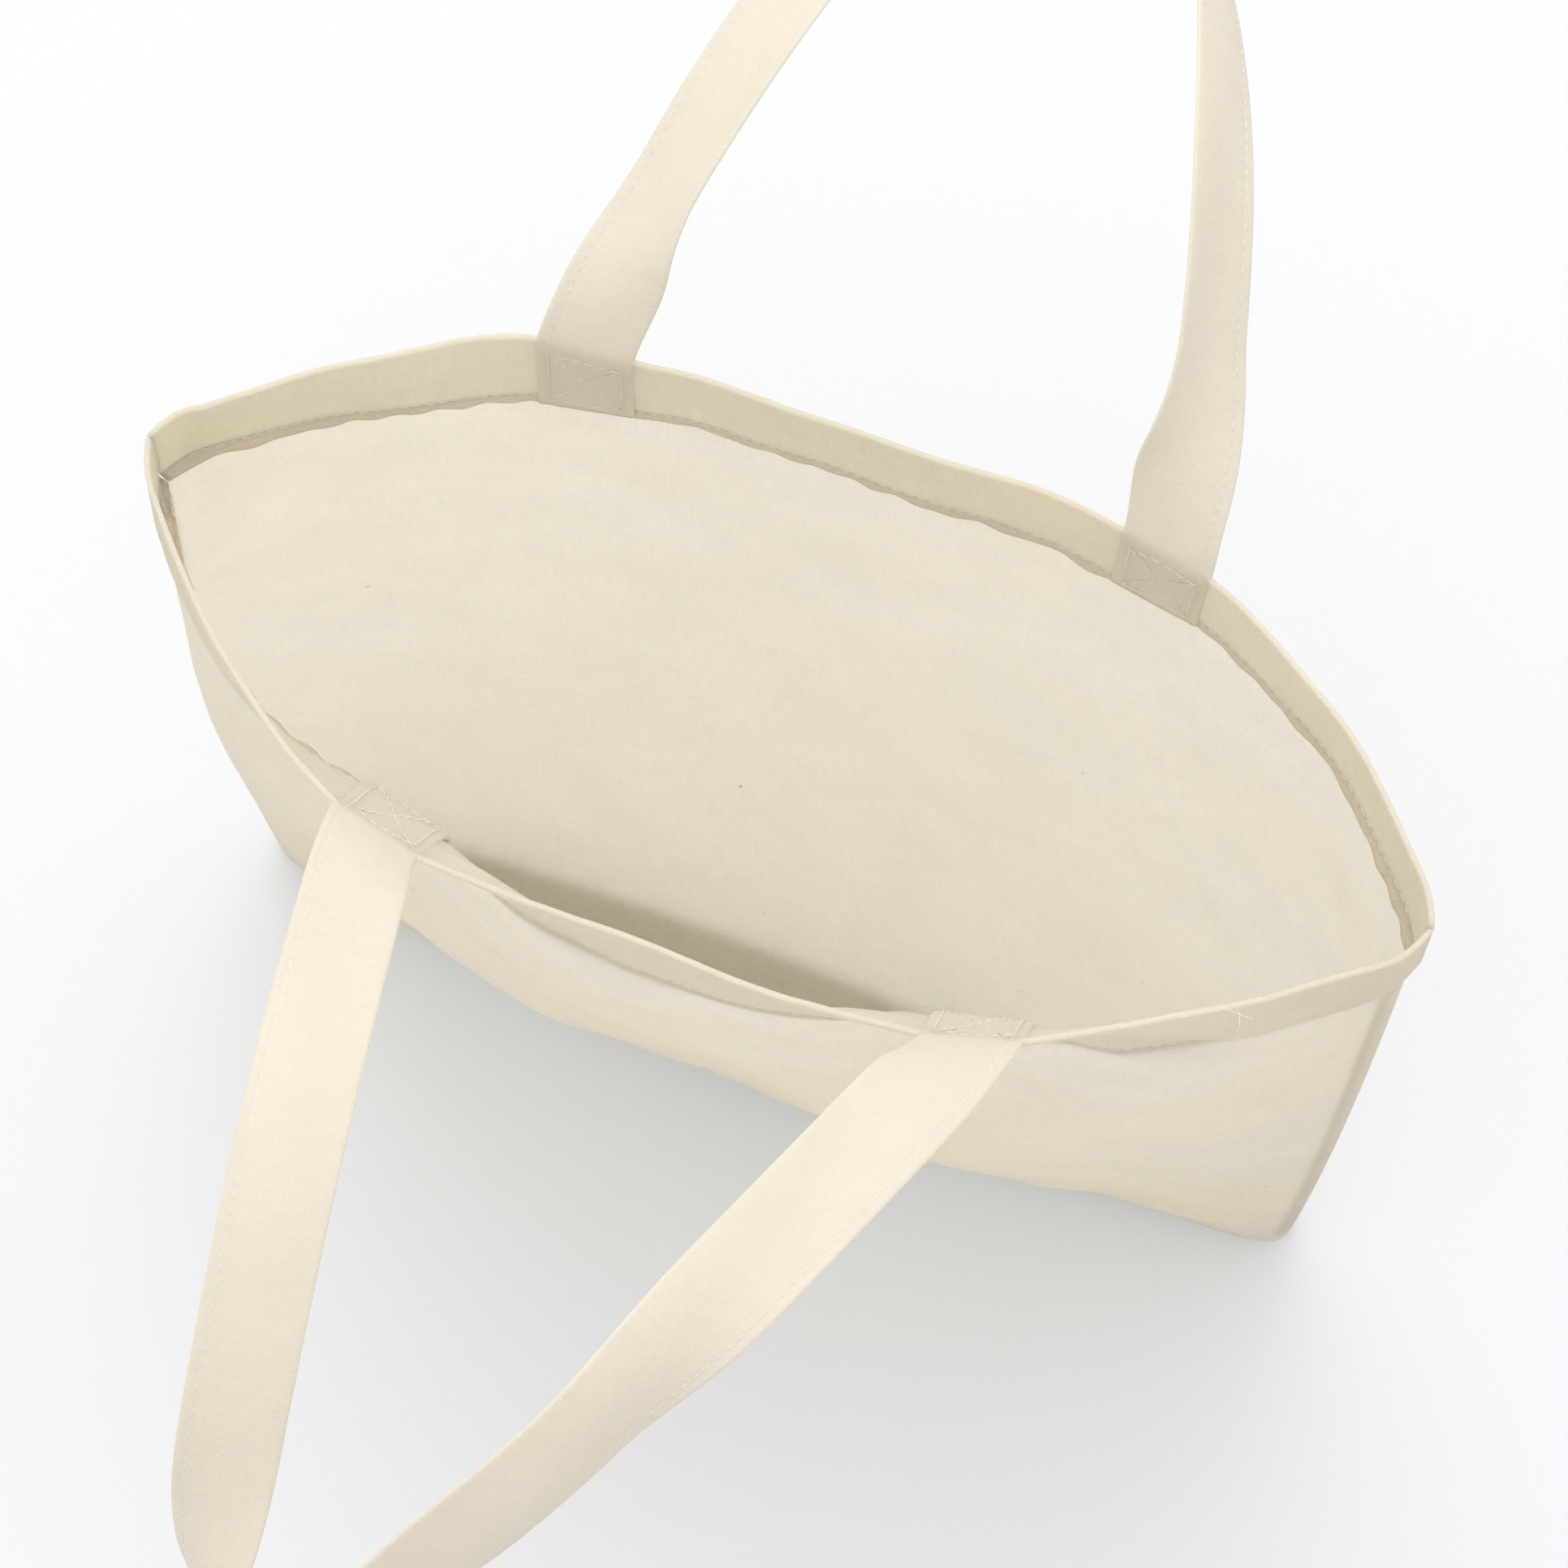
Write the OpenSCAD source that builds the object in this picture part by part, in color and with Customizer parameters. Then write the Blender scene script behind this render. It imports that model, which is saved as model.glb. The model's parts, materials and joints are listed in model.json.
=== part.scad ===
// Cotton canvas tote bag, standing open with its two long handles laid outwards.
// Origin: middle of the base, on the surface the bag stands on. +Z up, front panel towards -Y.

/* [Mouth] */
// Distance between the two side seams at the open rim
mouth_span = 331; // [300:1:350]
// Distance from the front rim to the back rim at the middle
mouth_depth = 144; // [80:1:170]
// Height of the rim at the middle of a panel
rim_h = 412; // [360:1:460]
// How far the rim rises from the middle of a panel to the side seams
tip_rise = 7; // [0:1:15]
// How square the mouth is in plan, 2 is an ellipse
mouth_square = 3.3; // [2:0.1:5]

/* [Base] */
// Distance between the two bottom corners
base_span = 366; // [330:1:380]
// Depth of the strip of cloth that the bag stands on
base_depth = 56; // [20:1:60]
// How square the base is in plan
base_square = 4; // [3:0.5:12]
// Radius of the soft fold between base and wall
base_fold = 5; // [3:0.5:12]

/* [Cloth] */
// Thickness of one ply of canvas
cloth_t = 0.8; // [0.5:0.1:1.2]
// Height of the hem that is turned in at the rim
hem_h = 35; // [20:1:45]
// Width of the seam allowance inside the bag
allowance_w = 10; // [6:1:14]
// Thickness of the sewing thread
thread_t = 0.5; // [0.3:0.1:0.8]

/* [Handles] */
// Width of the handle strap
strap_w = 25; // [20:1:35]
// Thickness of the folded handle strap
strap_t = 1.4; // [1:0.1:2]
// Distance between the centres of a handle's two sewn ends
strap_pitch = 154; // [110:1:200]
// How far the front handle's loop reaches out from the rim
front_loop_reach = 215; // [150:1:260]
// How far the back handle's loop reaches out from the rim
back_loop_reach = 217; // [150:1:260]
// How high a handle arches above the rim
loop_arch = 48; // [10:1:60]
// How far the end of a loop droops
loop_droop = 84; // [40:1:110]
// Sideways lean of the end of the front loop, towards -X
front_loop_lean = 33; // [0:1:45]
// Sideways lean of the end of the back loop, towards -X
back_loop_lean = 16; // [0:1:45]
// How round the front loop is in plan, from a V at 0 to a U at 2
front_loop_round = 0.45; // [0.2:0.05:2]
// How round the back loop is in plan
back_loop_round = 1.2; // [0.2:0.05:2]

/* [Hidden] */

canvas = "#E6DCC4";
strap_canvas = "#F2EAD5";
thread = "#EFE3C8";

FRONT = -1;
BACK = 1;
LEFT = -1;
RIGHT = 1;

// half the gap between the two panels, where they meet at a seam
seam_gap = 0.05;
// the panel's rows: 0 to 1 crosses the base, 1 to 2 turns the fold, 2 to 3 climbs the wall
base_rows = 3;
fold_rows = 4;
wall_rows = 15;
panel_cols = 32;
// exponent that closes the plan outline at the side seams
tip_power = 0.8;
// the bottom seam stops this short of the widest point of the base
corner_cut = 7;

rim_row = 3;
hem_row = 3 - hem_h / (rim_h - base_fold);
hem_ply = 2 * cloth_t;

// ---- the lofted surface of one panel ----

// 0 at the base, 1 at the rim
function climb(row) = max(0, row - 2);
// share of the base that a row has crossed
function crossing(row) = min(1, row);
// angle turned round the base fold, in degrees
function fold_angle(row) = 90 * min(1, max(0, row - 1));
function swell(k) = 1 - pow(1 - k, 1.7);

function half_depth(row) =
    (base_depth / 2 - base_fold) * crossing(row)
    + base_fold * sin(fold_angle(row))
    + (mouth_depth - base_depth) / 2 * swell(climb(row));
function half_span(row) =
    base_span / 2 - corner_cut * (1 - crossing(row))
    + (mouth_span - base_span) / 2 * pow(climb(row), 1.4);
function squareness(row) =
    base_square + (mouth_square - base_square) * pow(climb(row), 0.6);
function plan_outline(k, n) = pow(max(0, 1 - pow(abs(k), n)), tip_power);
function row_height(row, k) =
    base_fold * (1 - cos(fold_angle(row)))
    + (rim_h + tip_rise * k * k - base_fold) * climb(row);

// k runs from -1 at the left side seam to 1 at the right one
function skin(side, row, k) = [
    half_span(row) * k,
    side * (half_depth(row) * plan_outline(k, squareness(row)) + seam_gap),
    row_height(row, k)
];

function unit(v) = v / norm(v);
// inward normal of the skin; right at a side seam it is taken a little way in
function inward(side, row, k) =
    let (
        du = 0.004,
        kk = max(-0.98, min(0.98, k)),
        across = skin(side, row, kk + du) - skin(side, row, kk - du),
        up = skin(side, min(rim_row, row + du), kk) - skin(side, max(0, row - du), kk)
    )
    side * unit(cross(across, up));

// a point at a depth under the skin, kept on its own side of the seam plane
function under(side, row, k, depth) =
    let (p = skin(side, row, k) + depth * inward(side, row, k))
    [p.x, side * max(seam_gap, side * p.y), p.z];

// k of a given x on a given row
function k_at(row, x) = x / half_span(row);

// ---- solids made of rings and grids ----

// closed solid between two grids of points of the same size
module slab(top, bottom) {
    rows = len(top);
    cols = len(top[0]);
    size = rows * cols;
    function at(layer, r, c) = layer * size + r * cols + c;
    points = [for (grid = [top, bottom]) for (line = grid) for (p = line) p];
    // the diagonals of the quads mirror each other about the middle column
    skins = [
        for (r = [0:rows - 2]) for (c = [0:cols - 2])
            let (
                flip = c >= (cols - 1) / 2 ? 1 : 0,
                a = c + flip,
                b = c + 1 - flip
            ) each [
                flip == 0 ? [at(0, r, a), at(0, r, b), at(0, r + 1, b)]
                    : [at(0, r, b), at(0, r, a), at(0, r + 1, b)],
                flip == 0 ? [at(0, r, a), at(0, r + 1, b), at(0, r + 1, a)]
                    : [at(0, r, a), at(0, r + 1, a), at(0, r + 1, b)],
                flip == 0 ? [at(1, r, a), at(1, r + 1, b), at(1, r, b)]
                    : [at(1, r, b), at(1, r + 1, b), at(1, r, a)],
                flip == 0 ? [at(1, r, a), at(1, r + 1, a), at(1, r + 1, b)]
                    : [at(1, r, a), at(1, r + 1, b), at(1, r + 1, a)]
            ]
    ];
    ends = [
        for (c = [0:cols - 2]) each [
            [at(0, 0, c), at(1, 0, c), at(1, 0, c + 1)],
            [at(0, 0, c), at(1, 0, c + 1), at(0, 0, c + 1)],
            [at(0, rows - 1, c), at(1, rows - 1, c + 1), at(1, rows - 1, c)],
            [at(0, rows - 1, c), at(0, rows - 1, c + 1), at(1, rows - 1, c + 1)]
        ]
    ];
    edges = [
        for (r = [0:rows - 2]) each [
            [at(0, r, 0), at(0, r + 1, 0), at(1, r + 1, 0)],
            [at(0, r, 0), at(1, r + 1, 0), at(1, r, 0)],
            [at(0, r, cols - 1), at(1, r + 1, cols - 1), at(0, r + 1, cols - 1)],
            [at(0, r, cols - 1), at(1, r, cols - 1), at(1, r + 1, cols - 1)]
        ]
    ];
    polyhedron(points, concat(skins, ends, edges));
}

// bar swept through a list of four-cornered rings
module swept_bar(rings) {
    slab([for (ring = rings) [ring[0], ring[1]]], [for (ring = rings) [ring[3], ring[2]]]);
}

// ---- panels ----

function panel_rows() = concat(
    [for (i = [0:base_rows - 1]) i / base_rows],
    [for (i = [0:fold_rows - 1]) 1 + i / fold_rows],
    [for (i = [0:wall_rows]) 2 + (hem_row - 2) * i / wall_rows],
    [hem_row + 0.002, (hem_row + rim_row) / 2, rim_row]
);
function panel_k(i) = sin(90 * (2 * i / panel_cols - 1));
function ply(row) = row > hem_row ? hem_ply : cloth_t;

module panel_wall(side) {
    outer = [for (row = panel_rows()) [for (i = [0:panel_cols]) skin(side, row, panel_k(i))]];
    inner = [for (row = panel_rows())
        [for (i = [0:panel_cols]) under(side, row, panel_k(i), ply(row))]];
    if (side == FRONT) slab(inner, outer);
    else slab(outer, inner);
}

// line of points up a side seam, a distance in from the seam
function seam_rows() = [for (i = [0:14]) 2.03 + 0.96 * i / 14];
function seam_line(end, inset, y) = [
    for (row = seam_rows()) [end * (half_span(row) - inset), y, row_height(row, 1)]
];
module seam_strip(end, inset_a, inset_b, y_a, y_b) {
    near = seam_line(end, inset_a, y_a);
    far = seam_line(end, inset_b, y_a);
    near_back = seam_line(end, inset_a, y_b);
    far_back = seam_line(end, inset_b, y_b);
    rings = [for (i = [0:len(near) - 1]) [near[i], far[i], far_back[i], near_back[i]]];
    if (end == RIGHT) swept_bar(rings);
    else swept_bar([for (ring = rings) [ring[1], ring[0], ring[3], ring[2]]]);
}

module side_allowance(side, end) {
    y_a = side == FRONT ? -seam_gap - cloth_t : seam_gap;
    seam_strip(end, 1, allowance_w, y_a, y_a + cloth_t);
}
bottom_seam_w = base_span - 2 * corner_cut - 6;
module bottom_allowance(side) {
    y_a = side == FRONT ? -seam_gap - cloth_t : seam_gap;
    translate([-bottom_seam_w / 2, y_a, cloth_t / 2])
        cube([bottom_seam_w, cloth_t, allowance_w]);
}

module panel(side) {
    color(canvas) union() {
        panel_wall(side);
        side_allowance(side, LEFT);
        side_allowance(side, RIGHT);
        bottom_allowance(side);
    }
}

// ---- sewing ----

overlock_w = 4;
overlock_t = cloth_t + seam_gap + 0.3;
module side_overlock(end) {
    color(thread)
        seam_strip(end, allowance_w - overlock_w + 0.5, allowance_w + 0.5, -overlock_t, overlock_t);
}
module bottom_overlock() {
    color(thread)
        translate([-bottom_seam_w / 2, -overlock_t, allowance_w + cloth_t / 2 - overlock_w + 0.5])
            cube([bottom_seam_w, 2 * overlock_t, overlock_w]);
}

// line of lockstitch through both plies of a seam
stitch_inset = 3;
stitch_y = cloth_t + seam_gap + 0.2;
module seam_thread(end) {
    color(thread) seam_strip(end, stitch_inset, stitch_inset + thread_t, -stitch_y, stitch_y);
}
module bottom_seam_thread() {
    color(thread)
        translate([-bottom_seam_w / 2 + 2, -stitch_y, cloth_t + 1])
            cube([bottom_seam_w - 4, 2 * stitch_y, thread_t]);
}

// height of one thread, in rows
thread_rows = thread_t / (rim_h - base_fold);
// bar of thread along a path of [row, x] over the panel, between two depths
module skin_thread(side, path, depth_a, depth_b, wide_rows, wide_x) {
    function corner(p, sign, depth) =
        let (row = p[0] + sign * wide_rows / 2, x = p[1] + sign * wide_x / 2)
        under(side, row, k_at(row, x), depth);
    rings = [for (p = path) [
        corner(p, -1, depth_a), corner(p, 1, depth_a), corner(p, 1, depth_b), corner(p, -1, depth_b)
    ]];
    if (side == FRONT) swept_bar(rings);
    else swept_bar([for (ring = rings) [ring[1], ring[0], ring[3], ring[2]]]);
}

// the hem's lower edge is sewn a little above the fold line
hem_stitch_row = hem_row + 3 / (rim_h - base_fold);
hem_stitch_cols = 40;
module hem_thread(side) {
    reach = half_span(hem_stitch_row) - allowance_w - 1;
    path = [for (i = [0:hem_stitch_cols])
        [hem_stitch_row, reach * (2 * i / hem_stitch_cols - 1)]];
    color(thread) skin_thread(side, path, -0.2, hem_ply + 0.2, thread_rows, 0);
}

// ---- handle ends, sewn to the inside of the hem ----

// the ends stop this share of a row above the hem edge and below the rim
end_start = 0.004;
end_stop = 0.0045;
end_rows = [for (i = [0:4])
    hem_row + end_start + (rim_row - hem_row - end_start - end_stop) * i / 4];
end_top = hem_ply + 0.05;
end_steps = 4;

function end_x(end, i) = end * strap_pitch / 2 + strap_w * (i / end_steps - 0.5);
module handle_end(side, end) {
    near = [for (row = end_rows) [for (i = [0:end_steps])
        under(side, row, k_at(row, end_x(end, i)), end_top)]];
    far = [for (row = end_rows) [for (i = [0:end_steps])
        under(side, row, k_at(row, end_x(end, i)), end_top + strap_t)]];
    color(strap_canvas)
        if (side == FRONT) slab(far, near);
        else slab(near, far);
}

// square of stitching with a cross in it, through the strap and the hem
box_inset = 3;
module box_stitch(side, end) {
    x = end * strap_pitch / 2;
    half_w = strap_w / 2 - box_inset;
    low = end_rows[0] + box_inset / (rim_h - base_fold);
    high = end_rows[4] - box_inset / (rim_h - base_fold);
    depth_a = end_top + strap_t - 0.3;
    depth_b = end_top + strap_t + 0.25;
    corners = [[low, x - half_w], [low, x + half_w], [high, x + half_w], [high, x - half_w]];
    color(thread) {
        for (row = [low, high])
            skin_thread(side, [[row, x - half_w], [row, x], [row, x + half_w]],
                depth_a, depth_b, thread_rows, 0);
        for (s = [-1, 1])
            skin_thread(side, [[low, x + s * half_w], [high, x + s * half_w]],
                depth_a, depth_b, 0, -thread_t);
        for (s = [-1, 1])
            skin_thread(side, [[low, x - s * half_w], [(low + high) / 2, x], [high, x + s * half_w]],
                depth_a, depth_b, 0, -thread_t);
    }
}

// ---- handle loops ----

// the line that a handle turns about, just above the rim
anchor_k = k_at(rim_row, strap_pitch / 2);
hinge_y = mouth_depth / 2 * plan_outline(anchor_k, mouth_square) - 1;
hinge_z = row_height(rim_row, anchor_k) + 2;

loop_steps = 72;
// short upward start of the strap, where it leaves the stiff hem
root_rise = 6;
root_run = 8;

// q runs from -1 at the left end to 1 at the right end, 0 is the end of the loop
function loop_out(q) = pow(max(0, cos(90 * q)), 1.6);
function loop_reach(side) = side == FRONT ? front_loop_reach : back_loop_reach;
function loop_lean(side) = side == FRONT ? front_loop_lean : back_loop_lean;
function loop_round(side) = side == FRONT ? front_loop_round : back_loop_round;
// half the gap between a loop's two legs, as a share of the gap at the rim
function loop_spread(side, q) =
    let (left = 1 - loop_out(q), round = loop_round(side))
    sqrt(left * (left + round) / (1 + round));
function loop_point(side, q) =
    let (p = loop_out(q), out = loop_reach(side) * p)
    [
        strap_pitch / 2 * loop_spread(side, q) * sign(q) - loop_lean(side) * p * p,
        side * (hinge_y + out),
        hinge_z + root_rise * (1 - exp(-out / root_run))
        + 4 * loop_arch * p * (1 - p) - loop_droop * pow(p, 2.4)
    ];
function loop_along(side, q) =
    let (dq = 0.004)
    unit(loop_point(side, min(1, q + dq)) - loop_point(side, max(-1, q - dq)));
function ease(x) = let (c = min(1, max(0, x))) c * c * (3 - 2 * c);
// Each leg rolls its outer edge down, from flat at the rim to on edge at the end of the loop:
// a first turn in degrees, where it starts and ends, and where the rest of the quarter turn starts.
function leg_roll(side, q) =
    side == FRONT
    ? (q < 0 ? [0, 0, 0.1, 0.62] : [50, 0.3, 0.57, 0.68])
    : (q < 0 ? [33, 0, 0.12, 0.5] : [52, 0, 0.14, 0.15]);
function loop_twist(side, q) =
    let (p = loop_out(q), roll = leg_roll(side, q))
    roll[0] * ease((p - roll[1]) / (roll[2] - roll[1]))
    + (90 - roll[0]) * ease((p - roll[3]) / (1 - roll[3]));
// outer edge of the strap as seen from its middle
function loop_edge(side, q) =
    let (
        along = loop_along(side, q),
        out_raw = side * cross([0, 0, 1], unit([along.x, along.y, 0])),
        out_dir = unit(out_raw - along * (out_raw * along)),
        up_dir = unit(cross(along, out_dir) * side),
        a = loop_twist(side, q)
    )
    out_dir * cos(a) - up_dir * sin(a);

function strap_ring(side, q, mid, half_w, half_t) =
    let (
        c = loop_point(side, q),
        w = loop_edge(side, q),
        n = cross(loop_along(side, q), w),
        a = c + w * (mid - half_w),
        b = c + w * (mid + half_w)
    )
    [a + n * half_t, b + n * half_t, b - n * half_t, a - n * half_t];

module loop_sweep(side, mid, wide, thick) {
    swept_bar([for (i = [0:loop_steps])
        strap_ring(side, 2 * i / loop_steps - 1, mid, wide / 2, thick / 2)]);
}
module handle(side) {
    color(strap_canvas) loop_sweep(side, 0, strap_w, strap_t);
}
// the strap is folded lengthwise and closed by one line of stitching near an edge
edge_stitch = 3;
module handle_thread(side) {
    color(thread) loop_sweep(side, strap_w / 2 - edge_stitch, thread_t, strap_t + 0.4);
}

panel(FRONT);  // front_panel
panel(BACK);  // back_panel
hem_thread(FRONT);  // front_hem_thread
hem_thread(BACK);  // back_hem_thread
seam_thread(LEFT);  // left_seam_thread
seam_thread(RIGHT);  // right_seam_thread
bottom_seam_thread();
side_overlock(LEFT);  // left_overlock
side_overlock(RIGHT);  // right_overlock
bottom_overlock();
handle_end(FRONT, LEFT);  // front_left_handle_end
handle_end(FRONT, RIGHT);  // front_right_handle_end
handle_end(BACK, LEFT);  // back_left_handle_end
handle_end(BACK, RIGHT);  // back_right_handle_end
box_stitch(FRONT, LEFT);  // front_left_box_stitch
box_stitch(FRONT, RIGHT);  // front_right_box_stitch
box_stitch(BACK, LEFT);  // back_left_box_stitch
box_stitch(BACK, RIGHT);  // back_right_box_stitch
handle(FRONT);  // front_handle
handle(BACK);  // back_handle
handle_thread(FRONT);  // front_handle_thread
handle_thread(BACK);  // back_handle_thread
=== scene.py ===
"""Looks of the cotton canvas tote bag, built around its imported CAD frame. Metres throughout."""

import json
import math

import bpy
import numpy as np
from mathutils import Matrix, Vector


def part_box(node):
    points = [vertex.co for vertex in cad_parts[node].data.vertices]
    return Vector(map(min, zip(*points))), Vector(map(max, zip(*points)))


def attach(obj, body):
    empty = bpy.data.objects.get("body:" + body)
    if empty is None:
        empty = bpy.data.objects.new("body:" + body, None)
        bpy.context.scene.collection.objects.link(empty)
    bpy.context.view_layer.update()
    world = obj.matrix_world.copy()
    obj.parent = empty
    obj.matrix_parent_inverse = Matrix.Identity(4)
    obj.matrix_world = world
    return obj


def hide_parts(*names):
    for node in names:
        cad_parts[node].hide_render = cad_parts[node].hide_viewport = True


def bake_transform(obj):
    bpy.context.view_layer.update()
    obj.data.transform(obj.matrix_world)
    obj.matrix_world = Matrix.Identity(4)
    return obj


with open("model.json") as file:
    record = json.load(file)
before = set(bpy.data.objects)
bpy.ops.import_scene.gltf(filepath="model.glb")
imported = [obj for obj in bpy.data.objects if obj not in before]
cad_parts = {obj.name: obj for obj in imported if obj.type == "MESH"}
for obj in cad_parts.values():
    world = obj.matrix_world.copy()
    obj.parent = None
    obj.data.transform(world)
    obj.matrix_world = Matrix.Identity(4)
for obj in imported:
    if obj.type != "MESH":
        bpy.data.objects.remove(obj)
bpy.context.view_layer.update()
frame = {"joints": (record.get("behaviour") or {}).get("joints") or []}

# ---------------------------------------------------------------- named sizes

MM = 0.001
FRONT, BACK = -1, 1
LEFT, RIGHT = -1, 1
SIDE_NAME = {FRONT: "front", BACK: "back"}
END_NAME = {LEFT: "left", RIGHT: "right"}

panel_low, panel_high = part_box("front_panel")
end_low, end_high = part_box("front_right_handle_end")
HINGE = {}
for joint in frame["joints"]:
    HINGE[FRONT if joint["name"].startswith("front") else BACK] = Vector(joint["pos_m"])

# the lofted body: the mouth and the side seams are the CAD model's, and the foot is a little
# narrower than the CAD's, with a rounder fold
BASE_HALF_SPAN = panel_high.x
MOUTH_HALF_SPAN = 165.5 * MM
FOOT_END = 11 * MM
FOOT_MIDDLE = 24 * MM
MOUTH_HALF_DEPTH = -panel_low.y
TIP_RISE = 7 * MM
RIM_Z = panel_high.z - TIP_RISE
BASE_FOLD = 6 * MM
CORNER_CUT = 7 * MM
MOUTH_SQUARE = 3.3
TIP_POWER = 0.8
SEAM_GAP = 0.4 * MM

# cloth
CLOTH = 0.6 * MM
HEM = 35 * MM
HEM_PLY = 0.8 * MM
HEM_STITCH = 3.2 * MM

# handles
STRAP_W = end_high.x - end_low.x
STRAP_T = 1.3 * MM
STRAP_X = (end_low.x + end_high.x) / 2
LOOP_REACH = {FRONT: 215 * MM, BACK: 217 * MM}
LOOP_ARCH = 48 * MM
LOOP_DROOP = 84 * MM
LOOP_LEAN = {FRONT: 33 * MM, BACK: 16 * MM}
LOOP_ROUND = {FRONT: 0.45, BACK: 1.2}
ROOT_RISE = 6 * MM
ROOT_RUN = 8 * MM
EDGE_STITCH = 3 * MM
# how each leg rolls its outer edge down: its first turn in degrees, where that starts and
# ends, and where the rest of the quarter turn starts, as shares of the loop's reach
LEG_ROLL = {
    (FRONT, LEFT): (0, 0.0, 0.1, 0.69),
    (FRONT, RIGHT): (50, 0.3, 0.57, 0.68),
    (BACK, LEFT): (33, 0.02, 0.17, 0.5),
    (BACK, RIGHT): (48, 0.0, 0.2, 0.32),
}

# how each leg strays sideways from its plain arc: how far in mm, then where the shift starts,
# what it grows over, where it fades and what it fades over, in units of STRAY_UNIT along the reach
STRAY_UNIT = 100 * MM
LEG_STRAY = {(FRONT, RIGHT): (-9, 1.2, 0.8, 1.8, 0.35), (BACK, RIGHT): (2.6, 0, 0.35, 1.6, 0.5)}
# extra width of the loop next to its far end, which rounds out as a strap can't turn sharply
BELLY = 6 * MM

# thread
STITCH_LONG = 2.7 * MM
STITCH_GAP = 0.7 * MM
THREAD_R = 0.22 * MM
# one thread of lockstitch: share of its length, share of its radius, height over the cloth in mm
STITCH_SHAPE = [
    (0.0, 0.35, -0.25),
    (0.14, 0.85, 0.0),
    (0.5, 1.0, 0.08),
    (0.86, 0.85, 0.0),
    (1.0, 0.35, -0.25),
]

# ---------------------------------------------------------------- small tools


def smooth(x):
    c = np.clip(x, 0, 1)
    return c * c * (3 - 2 * c)


def unit(v):
    return v / np.maximum(np.linalg.norm(v, axis=-1, keepdims=True), 1e-12)


def waves(a, b, seed, count, shortest, longest, lean=0.0, spread=math.pi):
    """Smooth random field of mean 0 and size about 1 over cloth coordinates a, b in metres."""
    rng = np.random.default_rng(seed)
    field = np.zeros(np.broadcast(a, b).shape)
    for _ in range(count):
        angle = lean + spread * rng.uniform(-1, 1) / 2
        freq = 2 * math.pi / rng.uniform(shortest, longest)
        phase = rng.uniform(0, 2 * math.pi)
        field += np.sin(freq * (a * math.cos(angle) + b * math.sin(angle)) + phase)
    return field / math.sqrt(count / 2)


def bump(x, centre, width):
    return np.exp(-(((x - centre) / width) ** 2))


def crease(a, b, start, end, width, depth):
    """A soft ridge (or valley, for a negative depth) along a line over the cloth."""
    start, end = np.array(start) * MM, np.array(end) * MM
    along = end - start
    length = np.linalg.norm(along)
    along = along / length
    t = ((a - start[0]) * along[0] + (b - start[1]) * along[1]) / length
    off = -(a - start[0]) * along[1] + (b - start[1]) * along[0]
    fade = smooth(t * 4) * smooth((1 - t) * 2.2)
    bend = 0.12 * length * t * (1 - t)
    return depth * MM * fade * np.exp(-np.abs((off - bend) / (width * MM)) ** 1.6)


def new_mesh(name, points, faces, uvs=None):
    mesh = bpy.data.meshes.new(name)
    mesh.from_pydata([tuple(p) for p in points], [], faces)
    if uvs is not None:
        layer = mesh.uv_layers.new(name="cloth")
        loops = np.zeros(len(mesh.loops), np.int32)
        mesh.loops.foreach_get("vertex_index", loops)
        layer.data.foreach_set("uv", np.asarray(uvs)[loops].astype(np.float32).ravel())
    mesh.validate()
    mesh.shade_smooth()
    piece = bpy.data.objects.new(name, mesh)
    bpy.context.scene.collection.objects.link(piece)
    return piece


def grid_faces(rows, cols, closed_cols=False, flip=False):
    faces = []
    for r in range(rows - 1):
        for c in range(cols if closed_cols else cols - 1):
            d = (c + 1) % cols
            quad = (r * cols + c, r * cols + d, (r + 1) * cols + d, (r + 1) * cols + c)
            faces.append(quad[::-1] if flip else quad)
    return faces


def mark(piece, name, values):
    layer = piece.data.attributes.new(name, "FLOAT", "POINT")
    layer.data.foreach_set("value", np.asarray(values, np.float32).ravel())


def tube(points, radii, sides=6):
    """Vertices and faces of a round tube along a polyline, closed at both ends."""
    points = np.asarray(points, float)
    radii = np.broadcast_to(radii, len(points))
    along = unit(np.gradient(points, axis=0))
    helper = np.array([0.0, 0.0, 1.0]) if abs(along[0][2]) < 0.9 else np.array([1.0, 0.0, 0.0])
    verts = []
    for p, t, r in zip(points, along, radii):
        helper = helper - t * (helper @ t)
        helper = helper / np.linalg.norm(helper)
        other = np.cross(t, helper)
        for i in range(sides):
            a = 2 * math.pi * i / sides
            verts.append(p + r * (helper * math.cos(a) + other * math.sin(a)))
    faces = grid_faces(len(points), sides, closed_cols=True)
    faces.append(tuple(range(sides))[::-1])
    last = (len(points) - 1) * sides
    faces.append(tuple(last + i for i in range(sides)))
    return verts, faces


def join_parts(name, parts):
    """One mesh from several (verts, faces) pairs."""
    verts, faces = [], []
    for v, f in parts:
        base = len(verts)
        verts.extend(v)
        faces.extend([tuple(base + i for i in face) for face in f])
    return new_mesh(name, verts, faces)


def resample(points, step):
    """Points evenly spaced along a polyline, and how far along each one is."""
    points = np.asarray(points, float)
    run = np.concatenate([[0], np.cumsum(np.linalg.norm(np.diff(points, axis=0), axis=1))])
    at = np.arange(0, run[-1], step)
    return np.stack([np.interp(at, run, points[:, i]) for i in range(3)], 1), at


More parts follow.
